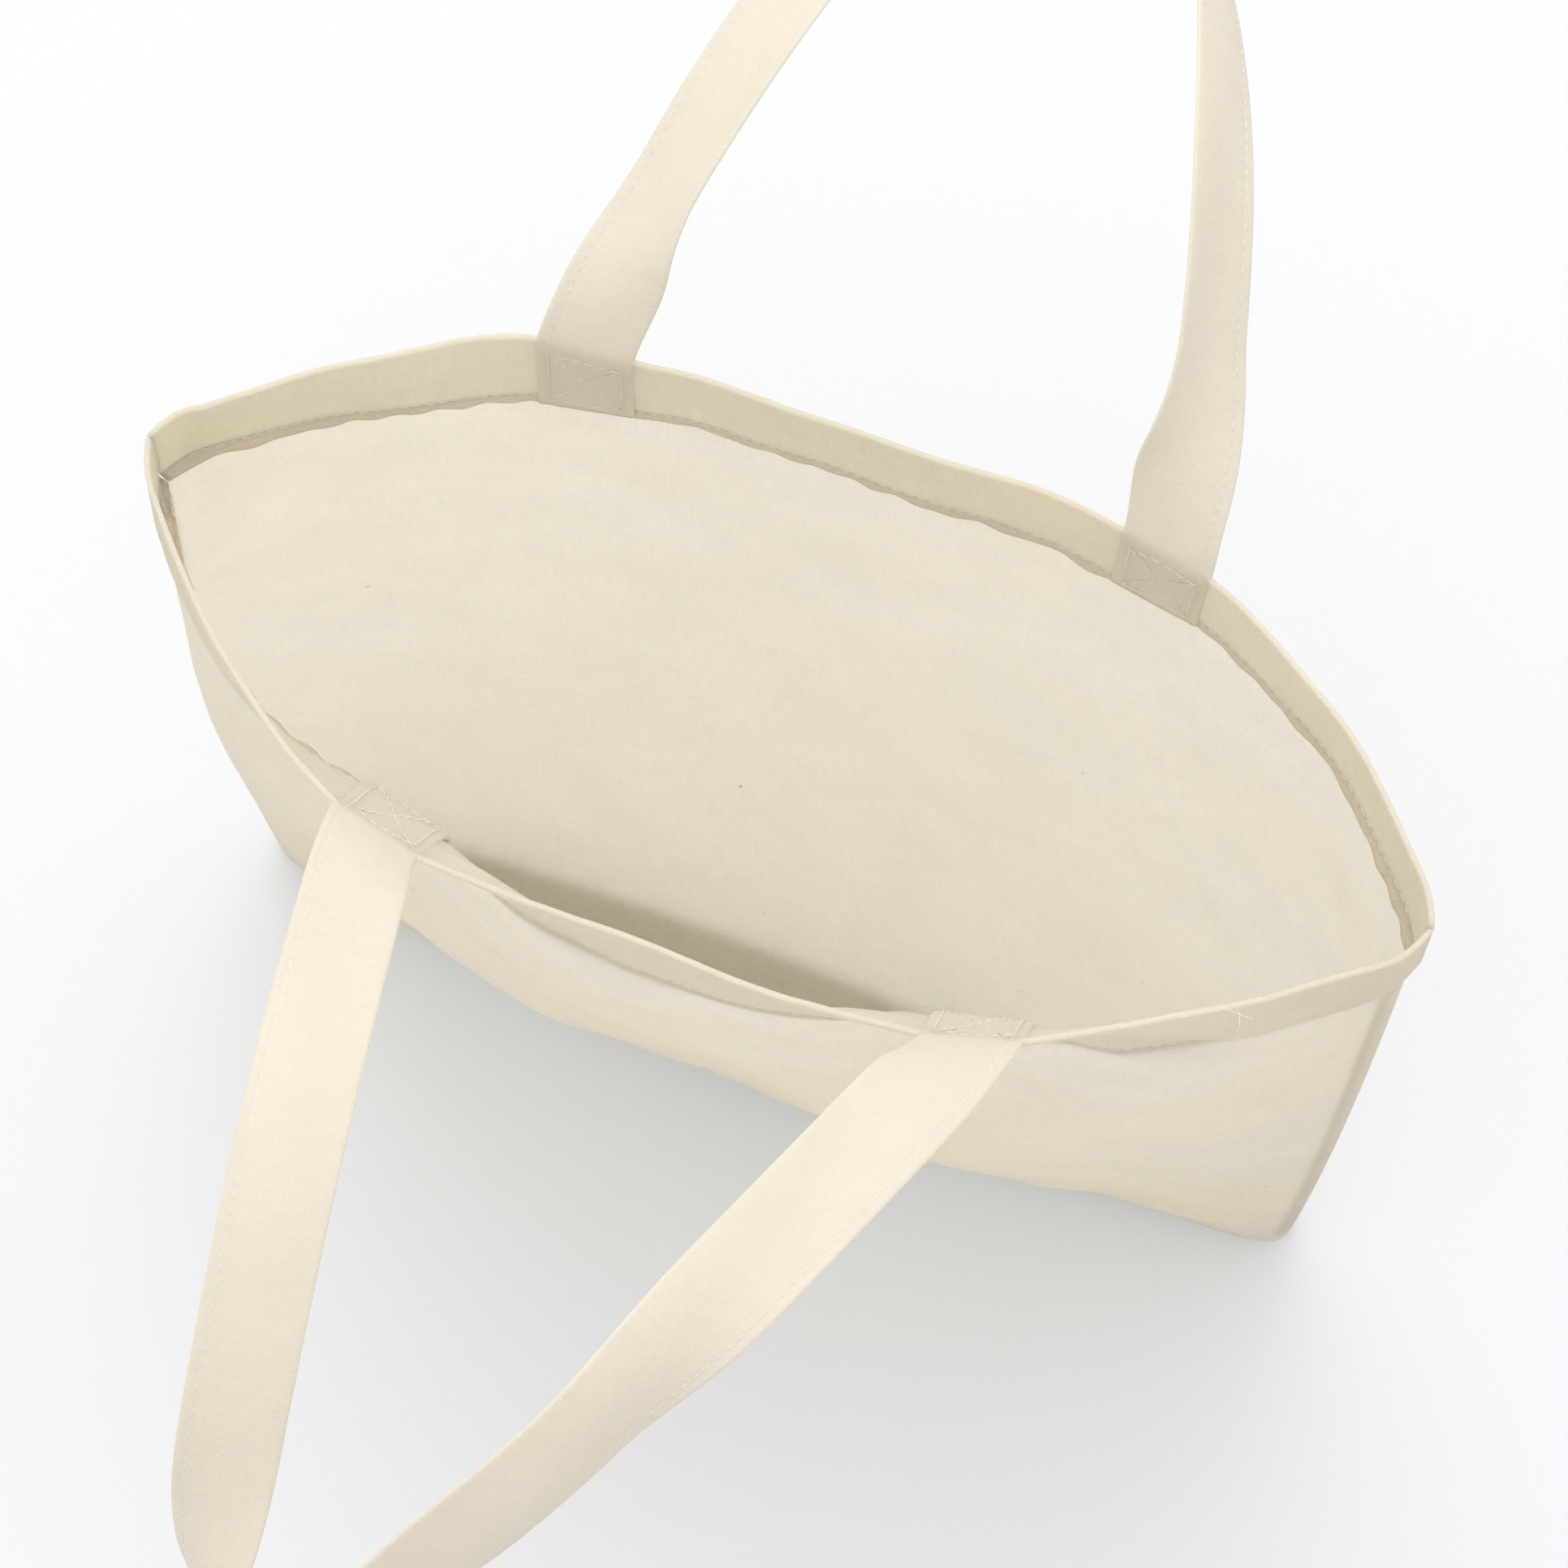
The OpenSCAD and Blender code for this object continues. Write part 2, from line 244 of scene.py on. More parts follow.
def stitches(points, normals, radius=THREAD_R, lift=0.1 * MM):
    """Lockstitch along a line on cloth: one short rounded thread after another."""
    points, normals = np.asarray(points, float), unit(np.asarray(normals, float))
    run = np.concatenate([[0], np.cumsum(np.linalg.norm(np.diff(points, axis=0), axis=1))])
    parts = []
    start = 0.0
    while start + STITCH_LONG < run[-1]:
        at = np.array([start + t * STITCH_LONG for t, _, _ in STITCH_SHAPE])
        mid = np.stack([np.interp(at, run, points[:, i]) for i in range(3)], 1)
        up = unit(np.stack([np.interp(at, run, normals[:, i]) for i in range(3)], 1))
        raise_by = np.array([lift + h * MM for _, _, h in STITCH_SHAPE])[:, None]
        parts.append(tube(mid + up * raise_by, [radius * r for _, r, _ in STITCH_SHAPE], 6))
        start += STITCH_LONG + STITCH_GAP
    return parts


# ---------------------------------------------------------------- the bag's surface
# row runs 0 to 1 across the base, 1 to 2 round the fold, 2 to 3 up the wall;
# k runs from -1 at the left side seam to 1 at the right one


def climb(row):
    return np.clip(row - 2, 0, 1)


HEM_FLARE = 2.2 * MM
# the left side seam bows out: how far, where up the wall and over what share of it, and how far
# it then comes back in at the rim
SEAM_BOW = 6.8 * MM
BOW_AT = 0.45
BOW_WIDTH = 0.28
BOW_BACK = 1.5 * MM


def half_span(row):
    hem_flare = HEM_FLARE * smooth((row - (3 - HEM / RIM_Z)) / 0.012)
    return (
        BASE_HALF_SPAN
        - CORNER_CUT * (1 - np.clip(row, 0, 1))
        + (MOUTH_HALF_SPAN - BASE_HALF_SPAN) * climb(row) ** 1.4
        + hem_flare
    )


def across(row, k):
    """x of the cloth."""
    bow = SEAM_BOW * bump(climb(row), BOW_AT, BOW_WIDTH) - BOW_BACK * climb(row) ** 8
    return half_span(row) * k - bow * np.maximum(0, -k) ** 2


def foot_outline(k):
    """Half depth of the bag where the walls leave the floor: a long lens with blunt ends."""
    lens = FOOT_END + (FOOT_MIDDLE - FOOT_END) * np.maximum(0, 1 - k * k) ** 1.1
    return lens * np.sqrt(np.maximum(0, 1 - np.abs(k) ** 30))


def mouth_outline(k):
    return MOUTH_HALF_DEPTH * np.maximum(0, 1 - np.abs(k) ** MOUTH_SQUARE) ** TIP_POWER


def swell(up):
    return 1 - (1 - up) ** 1.7


def depth_at(row, k):
    """Half depth of the bag: nothing at the bottom seam, then the foot, then out to the mouth."""
    turn = np.clip(row - 1, 0, 1) * math.pi / 2
    foot = foot_outline(k)
    fold = np.minimum(BASE_FOLD, 0.8 * foot)
    spread = (foot - fold) * np.clip(row, 0, 1) + fold * np.sin(turn)
    return spread + (mouth_outline(k) - foot) * swell(climb(row))


def follow(points, x):
    """Height of a softened line through listed points, given in mm as (x, height)."""
    xs, heights = np.array(points).T * MM
    steps = np.linspace(-1, 1, 7) * 7 * MM
    return np.mean([np.interp(x + step, xs, heights) for step in steps], axis=0)


# how far the rim leaves its plain outline, outwards and upwards, in mm
RIM_OUT = {
    BACK: [
        (-165, 0), (-150, -9), (-120, -9), (-94, -3), (-80, -3), (-62, -5.5), (-50, -5),
        (0, -3), (50, 0), (77, 2.5), (100, 0), (120, -3.5), (150, -5), (165, 0),
    ],
    FRONT: [
        (-165, 0), (-150, -4), (-120, -3.5), (-100, 0), (-77, 3.5), (-50, 0.5),
        (0, -0.8), (77, -1.5), (100, -8.5), (120, -11.5), (150, -9.5), (165, 0),
    ],
}
RIM_UP = {
    BACK: [(-165, 0), (0, -1), (50, -4.5), (62, -7.5), (90, -7.5), (120, -3.5), (165, 0)],
    FRONT: [(-165, 0), (-100, -2.5), (-77, -2.5), (0, 0), (77, 3), (120, 0.5), (165, 0)],
}
# rise of the right side seam over the left one, for each metre across
RIM_TILT = 0.02
# how far the wall behind a front strap sinks in below the rim, so the hem lies back there
HEM_ROLL = 11 * MM
# how far the back wall draws in left of its strap, and the foot near its front right end
BACK_DRAW = 5 * MM
FOOT_DRAW = 4 * MM


def wall_relief(side, row, k):
    """Folds, wrinkles and sag of a panel: how far each point stands out, in metres."""
    up = climb(row)
    a = k * half_span(row)
    b = up * RIM_Z
    away = smooth((1 - np.abs(k)) / 0.16)
    body = smooth(up / 0.12) * (1 - smooth((up - 0.86) / 0.1))
    seed = 11 if side == FRONT else 29
    lean = waves(a, b, seed, 5, 0.11, 0.2, 0.25, 0.9)
    small = waves(a, b, seed + 1, 9, 0.03, 0.075, 0.5, 2.2)
    fine = waves(a, b, seed + 2, 14, 0.009, 0.022)
    relief = away * body * (1.2 * lean + 0.5 * small) * MM
    relief += away * 0.05 * MM * fine
    pucker = waves(a, b, seed + 3, 8, 0.006, 0.014, math.pi / 2, 0.7)
    from_seam = 1 - np.abs(k)
    beside_seam = smooth(from_seam / 0.02) * (1 - smooth(from_seam / 0.1)) * smooth(up * 8)
    relief += 0.25 * MM * pucker * beside_seam
    for start, end, width, depth in CREASES[side]:
        relief += away * crease(a, b, start, end, width, depth)
    return relief


# creases: start and end as (x, height), width, depth, all in mm
CREASES = {
    FRONT: [
        ((88, 405), (158, 352), 5, -1.6),
        ((92, 398), (140, 330), 6, 1.2),
        ((66, 402), (20, 378), 6, -1.0),
        ((-66, 402), (-10, 372), 7, -1.2),
        ((150, 120), (70, 60), 5, 1.0),
        ((165, 90), (90, 30), 5, -1.1),
        ((-165, 260), (-60, 180), 9, -1.2),
        ((120, 250), (30, 160), 10, 1.0),
    ],
    BACK: [
        ((-170, 230), (-110, 205), 5, 1.1),
        ((-172, 215), (-120, 196), 4, -1.0),
        ((150, 372), (120, 180), 8, 1.6),
        ((166, 350), (140, 150), 6, -1.2),
        ((-84, 376), (-120, 250), 9, -1.0),
        ((70, 376), (90, 240), 10, 0.9),
    ],
}


def skin(side, row, k):
    """Outer face of a panel, with its folds and with the rim's own shape."""
    row, k = np.broadcast_arrays(np.asarray(row, float), np.asarray(k, float))
    up = climb(row)
    near_rim = up**3
    x = across(row, k)
    y = depth_at(row, k)
    turn = np.clip(row - 1, 0, 1) * math.pi / 2
    z = BASE_FOLD * (1 - np.cos(turn)) + (RIM_Z + TIP_RISE * k * k - BASE_FOLD) * up
    tips = smooth((1 - np.abs(k)) / 0.06)
    y = y + follow(RIM_OUT[side], x) * near_rim * tips
    z = z + (follow(RIM_UP[side], x) * tips + RIM_TILT * x) * near_rim
    drop = (1 - up) * RIM_Z
    sink = smooth(drop / (30 * MM)) * (1 - smooth((drop - 40 * MM) / (230 * MM)))
    if side == BACK:
        y = y - BACK_DRAW * bump(x, -112 * MM, 38 * MM) * sink * tips
    if side == FRONT:
        for end in (LEFT, RIGHT):
            y = y - HEM_ROLL * bump(x, end * STRAP_X, 34 * MM) * sink
        y = y - FOOT_DRAW * bump(x, 130 * MM, 45 * MM) * (1 - up) ** 2 * tips
    y = y + 0.5 * MM * waves(x, x * 0, 5 + side, 6, 0.03, 0.08) * near_rim * tips
    z = z + 0.35 * MM * waves(x, x * 0, 8 + side, 6, 0.03, 0.09) * near_rim * tips
    y = y + wall_relief(side, row, k)
    return np.stack([x, side * (y + SEAM_GAP), z], -1)


def frame_at(side, row, k):
    """Point, inward normal and upward direction of a panel."""
    row, k = np.broadcast_arrays(np.asarray(row, float), np.asarray(k, float))
    d = 0.003
    kk = np.clip(k, -0.985, 0.985)
    sideways = skin(side, row, kk + d) - skin(side, row, kk - d)
    rising = skin(side, np.minimum(3, row + d), kk) - skin(side, np.maximum(0, row - d), kk)
    inward = side * unit(np.cross(sideways, rising))
    return skin(side, row, k), inward, unit(rising)


def keep_side(side, points):
    """Keeps cloth on its own side of the seam plane."""
    points[..., 1] = side * np.maximum(SEAM_GAP, side * points[..., 1])
    return points


def rim_row(drop):
    """The row that lies a distance below the rim."""
    return 3 - drop / RIM_Z


def on_hem(side, x, drop, depth):
    """A point on or in the hem at x, with the normal that faces into the bag."""
    row = rim_row(np.asarray(drop, float))
    k = np.asarray(x, float) / half_span(row)
    point, inward, _ = frame_at(side, row, k)
    return point + inward * np.asarray(depth, float)[..., None], inward


# ---------------------------------------------------------------- materials


def link_math(tree, kind, a, b=None, c=None):
    node = tree.nodes.new("ShaderNodeMath")
    node.operation = kind
    for i, value in enumerate((a, b, c)):
        if value is None:
            continue
        if isinstance(value, (int, float)):
            node.inputs[i].default_value = value
        else:
            tree.links.new(value, node.inputs[i])
    return node.outputs[0]


def noise_at(tree, vector, scale, detail=3.0, roughness=0.55, stretch=None):
    if stretch is not None:
        mapping = tree.nodes.new("ShaderNodeMapping")
        mapping.inputs["Scale"].default_value = stretch
        tree.links.new(vector, mapping.inputs["Vector"])
        vector = mapping.outputs[0]
    node = tree.nodes.new("ShaderNodeTexNoise")
    node.inputs["Scale"].default_value = scale
    node.inputs["Detail"].default_value = detail
    node.inputs["Roughness"].default_value = roughness
    tree.links.new(vector, node.inputs["Vector"])
    return node.outputs["Fac"]


def flecks(tree, vector, cells, size, share, stretch, shift):
    """Sparse short specks: 1 inside a speck, 0 elsewhere."""
    mapping = tree.nodes.new("ShaderNodeMapping")
    mapping.inputs["Scale"].default_value = stretch
    mapping.inputs["Location"].default_value = shift
    tree.links.new(vector, mapping.inputs["Vector"])
    node = tree.nodes.new("ShaderNodeTexVoronoi")
    node.inputs["Scale"].default_value = cells
    tree.links.new(mapping.outputs[0], node.inputs["Vector"])
    split = tree.nodes.new("ShaderNodeSeparateColor")
    tree.links.new(node.outputs["Color"], split.inputs[0])
    # the cell's own random number sets both whether it has a speck and how big it is
    present = link_math(tree, "LESS_THAN", split.outputs[0], share)
    radius = link_math(tree, "MULTIPLY_ADD", split.outputs[1], size * cells, size * cells * 0.5)
    inside = link_math(tree, "SUBTRACT", radius, node.outputs["Distance"])
    edge = link_math(tree, "DIVIDE", inside, radius)
    clamp = tree.nodes.new("ShaderNodeClamp")
    tree.links.new(link_math(tree, "MULTIPLY", edge, 3.0), clamp.inputs[0])
    return link_math(tree, "MULTIPLY", clamp.outputs[0], present)


def mix_colour(tree, fac, a, b, blend="MIX"):
    node = tree.nodes.new("ShaderNodeMix")
    node.data_type = "RGBA"
    node.blend_type = blend
    node.clamp_factor = True
    for name, value in (("Factor", fac), ("A", a), ("B", b)):
        if isinstance(value, (int, float, tuple)):
            node.inputs[name].default_value = value
        else:
            tree.links.new(value, node.inputs[name])
    return node.outputs["Result"]


PALE_FLECK = (0.96, 0.93, 0.85, 1)
BROWN_FLECK = (0.36, 0.24, 0.13, 1)
DARK_FLECK = (0.16, 0.11, 0.07, 1)
# colour of the painted highlight along folded edges: the rim, the hem's lip and the strap edges
PAINTED_HIGHLIGHT = (0.95, 0.9, 0.79, 1)


def canvas_material(name, colour, warm, through, pitch, weave_depth, fleck_share, slub):
    """Plain-weave unbleached cotton: threads, slubs, mottling, dark and pale flecks, and a painted
    highlight along folded edges.

    colour and warm are its two tones, through is the share of light it lets through, pitch and
    weave_depth are the weave's, fleck_share is how many cells hold a fleck and slub is how much
    the slubs shade it.
    """
    material = bpy.data.materials.new(name)
    material.use_nodes = True
    tree = material.node_tree
    shader = tree.nodes["Principled BSDF"]
    shader.inputs["Roughness"].default_value = 0.92
    shader.inputs["Specular IOR Level"].default_value = 0.18
    shader.inputs["Sheen Weight"].default_value = 0.22
    shader.inputs["Sheen Roughness"].default_value = 0.5
    cloth = tree.nodes.new("ShaderNodeTexCoord").outputs["UV"]
    split = tree.nodes.new("ShaderNodeSeparateXYZ")
    tree.links.new(cloth, split.inputs[0])
    turns = 2 * math.pi / pitch
    # threads wander a little, so the weave never looks ruled
    wander = noise_at(tree, cloth, 60.0, 2.0)
    warp_turns = link_math(tree, "MULTIPLY", split.outputs[0], turns)
    weft_turns = link_math(tree, "MULTIPLY", split.outputs[1], turns)
    warp = link_math(tree, "SINE", link_math(tree, "MULTIPLY_ADD", wander, 5.0, warp_turns))
    weft = link_math(tree, "SINE", link_math(tree, "MULTIPLY_ADD", wander, -5.0, weft_turns))
    weave = link_math(tree, "MULTIPLY", warp, weft)
    slub_warp = noise_at(tree, cloth, 1.0, 4.0, 0.6, (1500.0, 55.0, 1.0))
    slub_weft = noise_at(tree, cloth, 1.0, 4.0, 0.6, (55.0, 1500.0, 1.0))
    slubs = link_math(tree, "ADD", slub_warp, slub_weft)
    mottle = noise_at(tree, cloth, 26.0, 5.0, 0.6)
    cloudy = noise_at(tree, cloth, 7.0, 2.0)

    tone = mix_colour(tree, link_math(tree, "MULTIPLY_ADD", cloudy, 1.6, -0.45), colour, warm)
    shade = link_math(tree, "MULTIPLY_ADD", slubs, slub, 1 - slub)
    shade = link_math(tree, "ADD", shade, link_math(tree, "MULTIPLY_ADD", mottle, 0.07, -0.035))
    shade = link_math(tree, "ADD", shade, link_math(tree, "MULTIPLY", weave, 0.02))
    grey = tree.nodes.new("ShaderNodeCombineColor")
    for i in range(3):
        tree.links.new(shade, grey.inputs[i])
    tone = mix_colour(tree, 1.0, tone, grey.outputs[0], "MULTIPLY")
    dark = flecks(tree, cloth, 70.0, 0.00042, fleck_share, (1.0, 0.8, 1.0), (3.1, 1.7, 0.0))
    brown = flecks(tree, cloth, 100.0, 0.0003, fleck_share * 0.8, (0.55, 1.2, 1.0), (7.7, 4.2, 0.0))
    pale = flecks(tree, cloth, 90.0, 0.0005, fleck_share * 1.2, (0.7, 1.0, 1.0), (1.3, 9.4, 0.0))
    for fleck, strength, fleck_colour in (
        (pale, 0.5, PALE_FLECK),
        (brown, 0.55, BROWN_FLECK),
        (dark, 0.75, DARK_FLECK),
    ):
        tone = mix_colour(tree, link_math(tree, "MULTIPLY", fleck, strength), tone, fleck_colour)
    # painted highlight: folded edges are painted paler, where they would catch the light
    edge_highlight = tree.nodes.new("ShaderNodeAttribute")
    edge_highlight.attribute_name = "edge_highlight"
    tone = mix_colour(tree, link_math(tree, "MULTIPLY", edge_highlight.outputs["Fac"], 0.5), tone, PAINTED_HIGHLIGHT)
    tree.links.new(tone, shader.inputs["Base Color"])

    height = link_math(tree, "MULTIPLY", weave, 0.5)
    height = link_math(tree, "MULTIPLY_ADD", slubs, 0.9, height)
    threads = tree.nodes.new("ShaderNodeBump")
    threads.inputs["Strength"].default_value = 1.0
    threads.inputs["Distance"].default_value = weave_depth
    tree.links.new(height, threads.inputs["Height"])
    crumple = noise_at(tree, cloth, 75.0, 4.0, 0.55)
    soft = tree.nodes.new("ShaderNodeBump")
    soft.inputs["Strength"].default_value = 1.0
    soft.inputs["Distance"].default_value = 0.0007
    tree.links.new(crumple, soft.inputs["Height"])
    tree.links.new(soft.outputs[0], threads.inputs["Normal"])
    tree.links.new(threads.outputs[0], shader.inputs["Normal"])
    # thin cotton lets light through
    glow = tree.nodes.new("ShaderNodeBsdfTranslucent")
    tree.links.new(tone, glow.inputs["Color"])
    tree.links.new(threads.outputs[0], glow.inputs["Normal"])
    both = tree.nodes.new("ShaderNodeMixShader")
    both.inputs[0].default_value = through
    tree.links.new(shader.outputs[0], both.inputs[1])
    tree.links.new(glow.outputs[0], both.inputs[2])
    tree.links.new(both.outputs[0], tree.nodes["Material Output"].inputs["Surface"])
    return material


def thread_material(name, colour, dark):
    """Twisted cotton thread: a fine slanting stripe over a slightly uneven colour."""
    material = bpy.data.materials.new(name)
    material.use_nodes = True
    tree = material.node_tree
    shader = tree.nodes["Principled BSDF"]
    shader.inputs["Roughness"].default_value = 0.75
    shader.inputs["Specular IOR Level"].default_value = 0.3
    shader.inputs["Sheen Weight"].default_value = 0.3
    place = tree.nodes.new("ShaderNodeTexCoord").outputs["Object"]
    uneven = noise_at(tree, place, 900.0, 3.0)
    tone = mix_colour(tree, uneven, dark, colour)
    tree.links.new(tone, shader.inputs["Base Color"])
    twist = tree.nodes.new("ShaderNodeTexWave")
    twist.inputs["Scale"].default_value = 1600.0
    twist.inputs["Distortion"].default_value = 1.0
    twist.bands_direction = "DIAGONAL"
    tree.links.new(place, twist.inputs["Vector"])
    relief = tree.nodes.new("ShaderNodeBump")
    relief.inputs["Distance"].default_value = 0.00008
    tree.links.new(twist.outputs["Fac"], relief.inputs["Height"])
    tree.links.new(relief.outputs[0], shader.inputs["Normal"])
    return material


WEAVE_PITCH = 0.85 * MM
canvas = canvas_material(
    "canvas",
    (0.958, 0.933, 0.873, 1),
    (0.955, 0.921, 0.838, 1),
    through=0.7,
    pitch=WEAVE_PITCH,
    weave_depth=0.1 * MM,
    fleck_share=0.2,
    slub=0.1,
)
strap_canvas = canvas_material(
    "strap_canvas",
    (0.885, 0.83, 0.722, 1),
    (0.88, 0.815, 0.69, 1),
    through=0.3,
    pitch=WEAVE_PITCH,
    weave_depth=0.07 * MM,
    fleck_share=0.1,
    slub=0.05,
)
thread = thread_material("thread", (0.95, 0.92, 0.83, 1), (0.91, 0.87, 0.76, 1))
overlock_thread = thread_material("overlock_thread", (0.93, 0.82, 0.62, 1), (0.86, 0.72, 0.5, 1))


def dress(piece, material):
    """Gives a piece of the bag's body its material and slot."""
    piece.data.materials.append(material)
    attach(piece, "bag")


# ---------------------------------------------------------------- panels

PANEL_COLS = 190
WALL_ROWS = 120
HEM_ROWS = 26
TURN_STEPS = 5


def column_k(row):
    """k of columns that are evenly spaced over the cloth at a row."""
    fine = np.sin(np.linspace(-1, 1, 801) * math.pi / 2)
    x = across(row, fine)
    y = depth_at(row, fine)
    run = np.concatenate([[0], np.cumsum(np.hypot(np.diff(x), np.diff(y)))])
    at = np.linspace(0, run[-1], PANEL_COLS)
    return np.interp(at, run, fine), at - run[-1] / 2


def hem_depth(drop, a):
    """How far the turned-in ply of the hem lies under the outer face."""
    pucker = 0.5 + 0.5 * waves(a, a * 0, 77, 8, 0.006, 0.016) * 0.6
    at_stitch = bump(drop, HEM - HEM_STITCH, 1.3 * MM)
    lip = smooth((drop - (HEM - HEM_STITCH)) / HEM_STITCH)
    loose = bump(drop, HEM * 0.45, HEM * 0.3)
    wave = 0.25 * waves(a, drop, 78, 6, 0.02, 0.06)
    under = 0.3 * loose * (1 + wave) - 0.2 * at_stitch + (0.25 + 1.0 * pucker) * lip
    return CLOTH / 2 + HEM_PLY + MM * under


def panel(side):
    """One cut of canvas: base, wall, rim and the hem turned in at the rim."""
    hem_drops = np.linspace(0, HEM, HEM_ROWS)
    rows = np.concatenate(
        [
            np.linspace(0, 1, 6)[:-1],
            np.linspace(1, 2, 8)[:-1],
            np.linspace(2, rim_row(HEM), WALL_ROWS)[:-1],
            rim_row(hem_drops[::-1]),
        ]
    )
    # the third list paints a highlight on the rim's fold, the hem's lower lip and the tucked edge
    points, uvs, edge_highlight = [], [], []
    height = 0.0
    last = None
    for row in rows:
        k, a = column_k(row)
        point, inward, rising = frame_at(side, row, k)
        line = keep_side(side, point + inward * (CLOTH / 2))
        if last is not None:
            height += float(np.linalg.norm(line[PANEL_COLS // 2] - last[PANEL_COLS // 2]))
        last = line
        drop = (3 - row) * RIM_Z
        line = line + inward * (0.35 * MM * bump(drop, HEM - HEM_STITCH, 1.2 * MM))
        points.append(line)
        uvs.append(np.stack([a, np.full_like(a, height)], 1))
        # painted highlight along the rim's outer edge
        edge_highlight.append(np.full_like(a, float(bump(drop, 0, 1.5 * MM))))
    # over the rim
    k, a = column_k(3.0)
    point, inward, rising = frame_at(side, 3.0, k)
    for i in range(1, TURN_STEPS):
        angle = math.pi * i / TURN_STEPS
        depth = CLOTH / 2 + HEM_PLY / 2 * (1 - math.cos(angle))
        over = point + inward * depth + rising * HEM_PLY / 2 * math.sin(angle)
        points.append(keep_side(side, over))
        uvs.append(np.stack([a, np.full_like(a, height + HEM_PLY * i / TURN_STEPS)], 1))
        edge_highlight.append(np.ones_like(a))
    # down inside
    for drop in hem_drops:
        row = rim_row(drop)
        k, a = column_k(row)
        point, inward, rising = frame_at(side, row, k)
        points.append(keep_side(side, point + inward * hem_depth(drop, a)[:, None]))
        uvs.append(np.stack([a, np.full_like(a, height + HEM_PLY + drop)], 1))
        # painted highlight along the rim and along the hem's lower lip
        lip_highlight = max(bump(drop, 0, 1.5 * MM), 0.8 * bump(drop, HEM, 1.2 * MM))
        edge_highlight.append(np.full_like(a, float(lip_highlight)))
    # the raw edge is tucked under
    for tuck, depth in ((0.5 * MM, 0.55), (-0.4 * MM, 0.25), (-3 * MM, 0.2)):
        row = rim_row(HEM + tuck)
        k, a = column_k(row)
        point, inward, rising = frame_at(side, row, k)
        full = hem_depth(HEM, a)
        under = CLOTH / 2 + CLOTH + (full - CLOTH * 1.5) * depth
        points.append(keep_side(side, point + inward * under[:, None]))
        uvs.append(np.stack([a, np.full_like(a, height + HEM_PLY + HEM + abs(tuck))], 1))
        # a faint painted highlight on the tucked edge
        edge_highlight.append(np.full_like(a, 0.3))
    count = len(points)
    piece = new_mesh(
        SIDE_NAME[side] + "_panel_cloth",
        np.concatenate(points),
        grid_faces(count, PANEL_COLS, flip=side == BACK),
        np.concatenate(uvs),
    )
    mark(piece, "edge_highlight", np.concatenate(edge_highlight))
    thicken(piece, CLOTH)
    dress(piece, canvas)
    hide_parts(SIDE_NAME[side] + "_panel")
    return piece


def thicken(piece, thickness):
    solid = piece.modifiers.new("ply", "SOLIDIFY")
    solid.thickness = thickness
    solid.offset = 0
    solid.use_even_offset = False


panels = {side: panel(side) for side in (FRONT, BACK)}


# ---------------------------------------------------------------- seams

ALLOWANCE = 10 * MM
OVERLOCK_W = 4 * MM
SEAM_ROWS = 90


def allowance_line(end, rows, inset, lift):
    """A line up the side seam's allowance, which lies against the inside of the front panel."""
    points, normals = [], []
    for row in rows:
        k, a = column_k(row)
        here = np.interp(a[-1] - inset if end == RIGHT else a[0] + inset, a, k)
        point, inward, _ = frame_at(FRONT, row, here)
        stand = 2.6 * MM * climb(row) ** 14 * inset / ALLOWANCE
        points.append(point + inward * (CLOTH + lift + stand))
        normals.append(inward)
    points, normals = np.array(points), np.array(normals)
    points[:, 1] = np.minimum(points[:, 1], -SEAM_GAP - lift * 0.5)
    return points, normals


def side_allowance(end):
    """Both plies of the side seam allowance, as one strip inside the bag."""
    rows = np.linspace(2.03, rim_row(HEM * 0.9), SEAM_ROWS)
    insets = np.linspace(1.5 * MM, ALLOWANCE, 7)
    lifts = CLOTH + 0.4 * MM * insets / ALLOWANCE
    lines = [allowance_line(end, rows, inset, lift)[0] for inset, lift in zip(insets, lifts)]
    points = np.stack(lines, 1)
    points[..., 1] += 0.25 * MM * waves(points[..., 2], points[..., 0], 41 + end, 6, 0.012, 0.04)
    uvs = np.stack(np.broadcast_arrays(insets[None, :], (rows * RIM_Z)[:, None]), -1)
    piece = new_mesh(
        END_NAME[end] + "_seam_allowance",
        points.reshape(-1, 3),
        grid_faces(len(rows), len(insets), flip=end == RIGHT),
        uvs.reshape(-1, 2),
    )
    thicken(piece, 1.6 * CLOTH)
    dress(piece, canvas)
    return piece


def overlock(name, edge, inward, normal, width):
    """Loops of thread bound over a raw edge; inward points from the edge into the cloth."""
    line, at = resample(edge, 0.22 * MM)
    share = at / at[-1] * (len(edge) - 1)
    inward = np.broadcast_to(inward, np.shape(edge))
    normal = np.broadcast_to(normal, np.shape(edge))
    steps = np.arange(len(edge))
    inward = unit(np.stack([np.interp(share, steps, inward[:, i]) for i in range(3)], 1))
    normal = unit(np.stack([np.interp(share, steps, normal[:, i]) for i in range(3)], 1))
    turn = 2 * math.pi * at / (1.9 * MM)
    inset = width * (0.5 - 0.5 * np.cos(turn)) - 0.35 * MM
    over = (CLOTH + 0.25 * MM) * np.sin(turn)
    parts = [tube(line + inset[:, None] * inward + over[:, None] * normal, 0.2 * MM, 5)]
    # the chains that lock the loops, along each side
    for inside in (0.15, 0.95):
        reach = inside * width + 0.16 * MM * np.sin(turn * 2)
        for face in (-1, 1):
            chain = line + reach[:, None] * inward + face * (CLOTH + 0.2 * MM) * normal
            parts.append(tube(chain[::3], 0.15 * MM, 5))
    return join_parts(name, parts)


